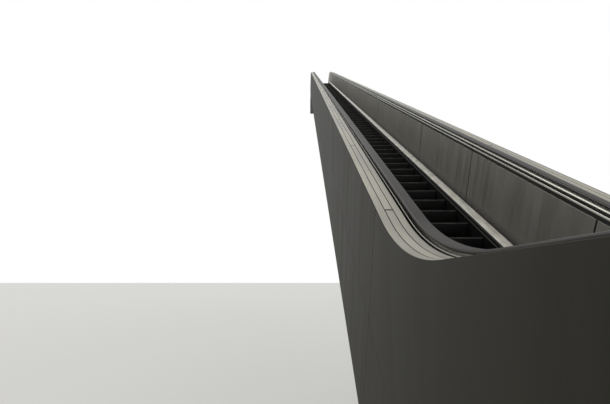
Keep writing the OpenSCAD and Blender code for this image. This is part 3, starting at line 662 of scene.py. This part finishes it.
# sections in millimetres from the handrail's inner top edge, with the radius of each rounded corner;
# the guide: nose, groove, bead under the handrail, tongue, outer ridge
guidePoints = [(-12, -113.7), (-12, -86.5), (-24, -85), (-17, -66), (-5, -63), (-5, -50), (-18, -47),
               (-20, -41), (-17, -32), (-8, -26), (19, -31), (19, -16.3), (10, -16.3), (10, -10.3),
               (70, -10.3), (70, -16.3), (61, -16.3), (61, -38), (85, -38), (87, -33), (91, -33),
               (93, -38), (93, -60), (6, -60), (6, -113.7)]
guideRadii = [0, 1, 2, 4, 2, 2, 3, 6, 8, 6, 1, 0, 0, 0, 0, 0, 0, 1, 1, 2, 2, 1, 0, 0, 0]
# trim that closes the panel's upper edge and laps over the lower part of the nose, and a dark insert that
# fills the guide's groove: painted shade, standing for the dark surroundings that the groove's steel reflects
trimPoints = [(-19, -113.5), (-19, -88.5), (-24.9, -86.8), (-25.2, -84.8), (-22, -77.3), (-21.2, -77.6),
              (-24, -85.4), (-12.2, -86.9), (-12.5, -113.5)]
# the groove's dark insert is painted shade and a painted dark reflection
paintedGrooveShadePoints = [(-12.5, -64.5), (-5.2, -62.7), (-5.2, -50.3), (-12.5, -48.6)]
wide = across["handWidth"] * 1000
handPoints = [(9, 0), (0, -8), (0, -22), (18, -22), (18, -17), (9, -17), (9, -10), (wide - 9, -10),
              (wide - 9, -17), (wide - 18, -17), (wide - 18, -22), (wide, -22), (wide, -8), (wide - 9, 0)]
handRadii = [10, 6, 6, 2, 0, 0, 0, 0, 0, 0, 2, 6, 6, 10]
guideSection = inMetres(roundedSection(guidePoints, guideRadii, 4)[::-1], handX)
trimAndGrooveShadeSections = (inMetres(trimPoints[::-1], handX), inMetres(paintedGrooveShadePoints, handX))
handSection = inMetres(roundedSection(handPoints, handRadii, 5), handX)
guideJoint = 0.001
guideEnds = [(0, newelLow + guideJoint)] + handBends + [(2, newelUp - guideJoint)]
guidePaths = [pathOf(handLine, 0, a, b) for a, b in piecesOf(guideEnds, guideJoint)]
guidePaths += [newelArc(False), newelArc(True)]
bothSides("guide_profile", [sweepShape(guideSection, p) for p in guidePaths], guideSteel,
          "handrail_guide")
bothSides("panel_trim_and_groove_shade", [sweepShape(s, p) for p in guidePaths for s in trimAndGrooveShadeSections], dustyProfile)

# handrail: a closed loop over the top, round both newels and back below
loop = {"drop": 0.6, "bend": 24, "returnBend": 12}
drop = loop["drop"]
returnLine = {"z": (handLine["z"][0] - drop, handLine["z"][1] - drop),
              "y": (handLine["y"][0] + drop * halfTan, handLine["y"][1] + drop * halfTan),
              "r": (run["handBendLow"] + drop, run["handBendUp"] - drop)}
wayBack = np.vstack([arcOf(returnLine, 0, upper, loop["returnBend"])[::-1] for upper in (True, False)])
wayBack[:, 2] -= math.pi
topBends = [arcOf(handLine, 0, upper, loop["bend"]) for upper in (False, True)]
handPath = np.vstack([newelArc(False)] + topBends + [newelArc(True), wayBack])
bothSides("handrail_belt", [sweepShape(handSection, handPath, True)], rubber, "handrail")

# outer deck: three strips with black gaskets in the seams; only the middle strip is jointed at the bays
deck = {"gap": 0.005, "joint": 0.022, "thick": 0.006, "edge": 0.0004, "trim": 0.001, "sunk": 0.0008,
        "edging": 0.0055, "air": 0.0003, "post": 0.06}
deckLow = deckTop - deck["thick"]
stripWide = (across["clad"] - deckX - 2 * deck["gap"]) / 3


def wheelLine(wheel):
    # the line that a wheel follows, from its place behind and below the tread's upper rear edge
    square = -(wheel["y"] + steps["depth"]) * sinS - wheels["drop"] * cosS
    return lineOf(-wheels["drop"], square, bendLow, bendUp)


bent = [stepLine, handLine, wheelLine(wheels["chain"]), wheelLine(wheels["trailing"])]
lowPost = (0, min(l["y"][0] - l["r"][0] * halfTan for l in bent) - deck["post"])
upPost = (2, max(l["y"][1] + l["r"][1] * halfTan for l in bent) + deck["post"])
strips = []
for k in range(3):
    x = deckX + k * (stripWide + deck["gap"])
    x0 = x + (deck["trim"] if k else deck["edging"])
    x1 = x + stripWide - (deck["trim"] if k < 2 else 0)
    gap, joints = (deck["joint"], bayJoints) if k == 1 else (bays["joint"], [])
    for a, b in newelRuns(gap, [lowPost] + joints + [upPost]):
        shape = plateShape(handLine, deckLow, handLine, deckTop, a, b, x0, x1, deck["edge"])
        strips.append(tonedApart(shape, k))
bothSides("outer_deck_strips", strips, deckSteel, "outer_deck")
seams = [deckX + k * stripWide + (k - 1) * deck["gap"] for k in (1, 2)]
trim = deck["trim"]
whole = (0, newelLow), (2, newelUp)
gaskets = [(*whole, x - trim + play, x + deck["gap"] + trim - play) for x in seams]
gaskets.append((*whole, deckX + deck["air"], deckX + deck["edging"] - play))
gaskets += [(a, b, seams[0] + deck["gap"] + trim + play, seams[1] - trim - play)
            for a, b in onJoints(deck["joint"] / 2 - deck["air"])]
bothSides("deck_seam_gasket", [
    plateShape(handLine, deckLow, handLine, deckTop - deck["sunk"], a, b, x0, x1, deck["edge"])
    for a, b, x0, x1 in gaskets], blackProfile)
print("balustrades made")

# cladding: balustrade sheets above, truss sheets below, screwed beside every joint
cladding = {"joint": 0.006, "seam": -0.06, "seamHalf": 0.002, "stripHalf": 0.0018, "jointHalf": 0.0028,
            "inset": 0.0005, "proud": 0.0014, "soffit": 0.005, "sunk": 0.003, "newelGap": 0.004,
            "stripEdge": 0.0004, "margin": 0.002}
sheetScrew = {"radius": 0.0075, "edge": 0.022, "margin": 0.03, "top": 0.07, "spacing": 0.3, "landing": 5}
floorPlate = {"top": 0.022, "thick": 0.03}
trussLow = -run["trussDepth"] - cladding["soffit"]
plateTop = floorPlate["top"]
plateLow = plateTop - floorPlate["thick"]
seam, margin = cladding["seam"], sheetScrew["margin"]
cladX0, cladX1 = across["clad"] + cladding["inset"], outX - cladding["proud"]
sheets = []
for k, (a, b) in enumerate(newelRuns(cladding["joint"])):
    for low, line, high, tone in ((seam + cladding["seamHalf"], handLine, deckTop, k),
                                  (trussLow, stepLine, seam - cladding["seamHalf"], k + 0.5)):
        sheets.append(tonedApart(plateShape(stepLine, low, line, high, a, b, cladX0, cladX1), tone))
ends = ((floorLow, run["trussStart"], newelLow), (floorUp, newelUp, trussEnd))
for (level, y0, y1), near, far in zip(ends, (0, cladding["newelGap"]), (cladding["newelGap"], 0)):
    ring = barRing(y0 + near, y1 - far, level + trussLow, level + plateLow)
    sheets.append(prismShape(ring, cladX0, cladX1, 0))
strip, behind = cladding["stripHalf"], (cladX0, cladX1 - cladding["sunk"], cladding["stripEdge"])
seamPlates = [plateShape(stepLine, seam - strip, stepLine, seam + strip, *whole, *behind)]
seamPlates += [plateShape(stepLine, trussLow + cladding["margin"], handLine, deckTop - cladding["margin"],
                          a, b, *behind) for a, b in onJoints(cladding["jointHalf"])]
screws = []
for s in [s + d for _, s in bayJoints for d in (-sheetScrew["edge"], sheetScrew["edge"])]:
    for low, high in ((trussLow + margin, seam - margin),
                      (seam + margin, run["handSquare"] - sheetScrew["top"])):
        off = np.linspace(low, high, round((high - low) / sheetScrew["spacing"]) + 1)
        screws.append(joined(cladX1, *slopePoint(s, off)))
for level, y0, y1 in ends:
    for z in (level + trussLow + margin, level + plateLow - margin):
        y = np.linspace(y0 + margin, y1 - margin, sheetScrew["landing"])
        screws.append(joined(cladX1, y, z))
bothSides("cladding_sheet", sheets, claddingSteel, "cladding")
bothSides("cladding_seam", seamPlates, blackProfile)
heads = headsShape(np.vstack(screws), (1, 0, 0), sheetScrew["radius"], cladding["proud"])
bothSides("cladding_screws", [heads], claddingSteel)

# screws of the inner deck and the soffit, in rows beside the joints
deckScrew = {"across": 0.5535, "up": 0.0975, "tilt": math.atan2(0.0416, 0.089), "radius": 0.005,
             "head": 0.0012, "along": (-0.7, -0.03, 0.03, 0.7)}
soffitScrew = {"along": (-0.022, 0.022), "reach": 0.84, "count": 9, "radius": 0.0065, "head": 0.003}
deckPlaces = [(deckScrew["across"], *slopePoint(s + d, deckScrew["up"]))
              for _, s in bayJoints for d in deckScrew["along"]]
tilt = deckScrew["tilt"]
square = (-math.sin(tilt), -math.cos(tilt) * sinS, math.cos(tilt) * cosS)
bothSides("inner_deck_screws", [headsShape(deckPlaces, square, deckScrew["radius"], deckScrew["head"])],
          zincSteel)
soffitPlaces = [(x, *slopePoint(s + d, trussLow)) for _, s in bayJoints for d in soffitScrew["along"]
                for x in np.linspace(-soffitScrew["reach"], soffitScrew["reach"], soffitScrew["count"])]
heads = headsShape(soffitPlaces, (0, sinS, -cosS), soffitScrew["radius"], soffitScrew["head"])
addPiece("soffit_screws", [heads], zincSteel)

# bolts with washers: round the end plates, and through the bearings' upright flanges
bolts = {"plate": 0.01, "flange": 0.025, "radius": 0.015, "head": 0.01, "washer": 0.003, "side": 0.85,
         "low": -0.9, "high": 0.07, "row": 0.6, "flangeUp": 0.078,
         "flangeRow": (-0.6, -0.45, -0.3, -0.1, 0.1, 0.3, 0.45, 0.6), "washerWide": 1.35,
         "washerTop": 0.96, "headTop": 0.93}
for end, out, face, level in (("lower", -1, run["trussStart"], 0.0), ("upper", 1, trussEnd, rise)):
    y = face + out * bolts["plate"]
    yFlange = face + out * (bolts["plate"] + bolts["flange"])
    places = [(x, y, level + z) for x in (-bolts["side"], bolts["side"])
              for z in np.linspace(bolts["low"], bolts["high"], 7)]
    places += [(x, y, level + bolts["low"]) for x in np.linspace(-bolts["row"], bolts["row"], 5)]
    places += [(x, yFlange, level + bolts["flangeUp"]) for x in bolts["flangeRow"]]
    onWasher = np.array(places) + [0, out * bolts["washer"], 0]
    addPiece(f"end_plate_bolts_{end}", [
        headsShape(places, (0, out, 0), bolts["radius"] * bolts["washerWide"], bolts["washer"], 16,
                   bolts["washerTop"]),
        headsShape(onWasher, (0, out, 0), bolts["radius"], bolts["head"], 6, bolts["headTop"])],
        zincSteel)

# newels: outer drum with a turned edge, inner disc, plates below, the handrail's inlet and the skirt's cap
newel = {"edge": 0.004, "discEdge": 0.0015, "plate": 0.01, "hub": 0.001, "collar": 0.005, "cap": 0.003,
         "air": 0.0005, "gap": 0.004, "neck": 0.255, "plateEdge": 0.002, "neckEdge": 0.001,
         "screwX": (0.64, 0.84), "screwFoot": 0.03, "screwHead": 0.06, "screw": 0.006, "head": 0.0016}


def hubPath(upper):
    # the newel's centre with the angles of its half turn, so that a section's second number is a radius
    path = newelArc(upper)
    path[:, :2] = newelAt[upper], handLine["z"][upper] - newelRadius
    return path


def drumSection(x0, x1, radius, e):
    # half outline of a drum with one rounded rim on each side
    a = np.linspace(0, math.pi / 2, 5)
    right = joined(x1 - e + e * np.sin(a[::-1]), radius - e + e * np.cos(a[::-1]))
    left = joined(x0 + e - e * np.sin(a), radius - e + e * np.cos(a))
    return np.vstack([[(x0, newel["hub"]), (x1, newel["hub"])], right, left])


def onLanding(shapes, upper):
    # from a landing's own frame, y nought at the comb and z nought at the floor, to its place
    turn, place = ([1, -1, 1], [0, combUp, floorUp]) if upper else ([1, 1, 1], [0, combLow, floorLow])
    return [(verts * turn + place, faces, uv) for verts, faces, uv in shapes]


newelY = newelRadius - run["newelOut"]
frontY = newelY - newel["plate"]
newelZ = run["handHeight"] - newelRadius
drumFoot = newelZ - newelRadius
# the inlet collar's outline in millimetres from the handrail's inner edge and the newel's centre
collarPoints = [(-16, -281), (-16, -322), (-13.7, -327.7), (-8, -330), (88, -330), (93.7, -327.7),
                (96, -322), (96, -281), (84.5, -281), (84.5, -304.5), (-4.5, -304.5), (-4.5, -281)]
collarRing = inMetres(collarPoints, handX, newelZ)
capRing = [(skirtX + newel["air"], plateTop + play), (panelX, plateTop + play),
           (panelX, innerTop), (skirtX + inset, skirtTop + lift), (skirtX + newel["air"], skirtTop - 0.002)]
seamZ = drumFoot - newel["gap"]
lowerPlate = barRing(panelX, outX, plateTop, seamZ, newel["plateEdge"])
upperPlate = barRing(deckX, outX, seamZ + newel["air"], newelZ - newel["neck"], newel["neckEdge"])
drumSections = [drumSection(deckX + newel["air"], outX, newelRadius + deckTop, newel["edge"]),
                drumSection(panelX, deckX, newelRadius + panelTop, newel["discEdge"])]
places = [(x, frontY, z) for x in newel["screwX"]
          for z in (plateTop + newel["screwFoot"], drumFoot - newel["screwHead"])]
plateScrews = [headsShape(places, (0, -1, 0), newel["screw"], newel["head"], 10)]
for upper, end in ((False, "lower"), (True, "upper")):
    drums = [sweepShape(section, hubPath(upper)) for section in drumSections]
    fronts = [prismShape(ring, frontY, newelY) for ring in (lowerPlate, upperPlate)]
    collars = [prismShape(collarRing, frontY - newel["collar"], frontY - play),
               prismShape(capRing, newelY - newel["cap"], newelY)]
    bothSides(f"newel_casing_{end}", drums + onLanding(fronts, upper), newelSteel, f"newel_{end}")
    bothSides(f"handrail_inlet_{end}", onLanding(collars, upper), blackProfile)
print("newels made")

# floor plates, comb plates and the screws beside them
ribs = {"pitch": 0.0125, "groove": 0.0055, "depth": 0.0018, "slant": 0.0005, "frame": 0.016}
lifting = {"gap": 0.001, "keyX": 0.62, "radius": 0.016, "rimDeep": 0.004, "keyDeep": 0.003, "keyShare": 0.55}
comb = {"half": 0.5047, "depth": 0.06, "gap": 0.0005, "low": 0.002, "head": 0.001}
# rows of screws on the comb plate: how many, how far in from its sides, their place along, their radius
combScrews = ((10, 0.05, -comb["depth"] + 0.007, 0.0045), (6, 0.03, newelY + 0.008, 0.0055),
              (6, 0.03, -comb["depth"] - 0.008, 0.0055))


def ribbedRing(x0, x1, z0, z1):
    # rectangle whose upper side is cut by even grooves with slanted walls
    count = round((x1 - x0) / ribs["pitch"])
    g = x0 + (x1 - x0) * (np.arange(count - 1) + 1) / count
    half, e, d = ribs["groove"] / 2, ribs["slant"], ribs["depth"]
    cut = np.stack([joined(x, z) for x, z in ((g - half - e, z1), (g - half + e, z1 - d),
                                              (g + half - e, z1 - d), (g + half + e, z1))], 1)
    return np.vstack([[(x1, z1), (x1, z0), (x0, z0), (x0, z1)], cut.reshape(-1, 2)])


def framedPlate(x0, x1, y0, y1, z0, z1):
    # ribbed field in a flat edging of four bars
    f, e = ribs["frame"], play
    cross = barRing(x0 + f + e, x1 - f - e, z0, z1)
    return [prismShape(barRing(x0, x0 + f, z0, z1), y0, y1), prismShape(barRing(x1 - f, x1, z0, z1), y0, y1),
            prismShape(cross, y0, y0 + f), prismShape(cross, y1 - f, y1),
            prismShape(ribbedRing(x0 + f + e, x1 - f - e, z0, z1), y0 + f + e, y1 - f - e)]


def discOn(x, y, z0, z1, radius):
    # upright short cylinder
    a = np.linspace(0, 2 * math.pi, 20, endpoint=False)
    return prismShape(joined(x + radius * np.cos(a), y + radius * np.sin(a)), z0, z1, 2)


def screwRow(count, side, y, radius):
    # low heads in a row across a comb plate
    x = np.linspace(-comb["half"] + side, comb["half"] - side, count)
    return headsShape(joined(x, y, plateTop), (0, 0, 1), radius, comb["head"], 10)


for upper, end, landing in ((False, "lower", run["landingLow"]), (True, "upper", run["landingUp"])):
    depth = (landing + newelY) / 2
    field, keys, rims = [], [], []
    for k in (0, 1):
        y0 = -landing + k * (depth + lifting["gap"])
        field += framedPlate(-outX, outX, y0, y0 + depth - lifting["gap"], plateLow, plateTop)
        for x in (-lifting["keyX"], lifting["keyX"]):
            y = y0 + depth / 2
            rims.append(discOn(x, y, plateTop - lifting["rimDeep"], plateTop, lifting["radius"]))
            keys.append(discOn(x, y, plateTop - lifting["keyDeep"], plateTop + play,
                               lifting["radius"] * lifting["keyShare"]))
    combPlate = framedPlate(-comb["half"], comb["half"], newelY + comb["gap"], -comb["depth"] - comb["gap"],
                            comb["low"], plateTop)
    bothSides(f"newel_screws_{end}", onLanding(plateScrews, upper), zincSteel)
    addPiece(f"ribbed_floor_plates_{end}", onLanding(field + rims, upper), floorAlloy,
             f"floor_plates_{end}")
    addPiece(f"ribbed_comb_plate_{end}", onLanding(combPlate, upper), floorAlloy,
             f"comb_plate_{end}")
    addPiece(f"floor_plate_keys_{end}", onLanding(keys, upper), blackProfile)
    heads = [screwRow(*row) for row in combScrews]
    addPiece(f"comb_screws_{end}", onLanding(heads, upper), zincSteel)
print("landings made")

# finishes on the construction's own nodes
finishes = {
    combAlloy: ["comb_lower", "comb_upper"],
    railSteel: ["step_rails"],
    trussPaint: ["balustrade_posts_left", "balustrade_posts_right", "skirt_brackets_left",
                 "skirt_brackets_right", "cross_frames", "truss_chords", "truss_diagonals", "soffit_plates",
                 "end_plate_lower", "end_plate_upper", "bearing_lower", "bearing_upper"],
}
for material, nodeNames in finishes.items():
    for nodeName in nodeNames:
        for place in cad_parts[nodeName].material_slots:
            place.material = material
print("finishes set")

# matt pale floor, soft daylight that the camera, gloss and glass see as white, and one soft key light
stage = {"half": 200.0, "floor": "#d8d8d6", "sky": "#f2f1ee", "seen": "#ffffff", "skyLight": 0.55,
         "key": 1.6, "keySoft": 35, "keyTurn": (-18, -28, 0)}
h, floorZ = stage["half"], cadBox[0][2]
ground = bpy.data.meshes.new("floor")
ground.from_pydata([(-h, -h, floorZ), (h, -h, floorZ), (h, h, floorZ), (-h, h, floorZ)], [], [(0, 1, 2, 3)])
pale, _, shader = newMaterial("pale floor", 0.9)
shader.inputs["Base Color"].default_value = toLinear(stage["floor"])
ground.materials.append(pale)
placed("floor", ground)

world = bpy.data.worlds.new("soft daylight")
scene.world = world
world.use_nodes = True
tree = world.node_tree
background = tree.nodes["Background"]
background.inputs["Strength"].default_value = stage["skyLight"]
background.inputs["Color"].default_value = toLinear(stage["sky"])
white = addNode(tree, "Background", {"Color": toLinear(stage["seen"]), "Strength": 1.0}).outputs[0]
rays = addNode(tree, "LightPath").outputs
seen = rays["Is Camera Ray"]
for ray in ("Is Glossy Ray", "Is Transmission Ray"):
    seen = addNode(tree, "Math", {"operation": "MAXIMUM"}, {0: seen, 1: rays[ray]}).outputs[0]
mix = addNode(tree, "MixShader", links={0: seen, 1: background.outputs[0], 2: white})
tree.links.new(mix.outputs[0], tree.nodes["World Output"].inputs["Surface"])

sunData = bpy.data.lights.new("soft key", "SUN")
sunData.energy = stage["key"]
sunData.angle = math.radians(stage["keySoft"])
placed("soft key", sunData).rotation_euler = [math.radians(turn) for turn in stage["keyTurn"]]

# the eye stands between two machines, over the middle of the gap, and looks up the slope
eye = {"x": -1.363, "before": 2.0533, "above": 0.8447, "pitch": 10.7, "lens": 24.0, "film": 36.0,
       "sees": 500.0}
cameraData = bpy.data.cameras.new("eye")
cameraData.lens = eye["lens"]
cameraData.sensor_width = eye["film"]
cameraData.clip_end = eye["sees"]
camera = placed("eye", cameraData)
camera.location = (eye["x"], cornerLow - eye["before"], floorLow + eye["above"])
camera.rotation_euler = (math.radians(90 + eye["pitch"]), 0, 0)
scene.camera = camera
print("stage set")
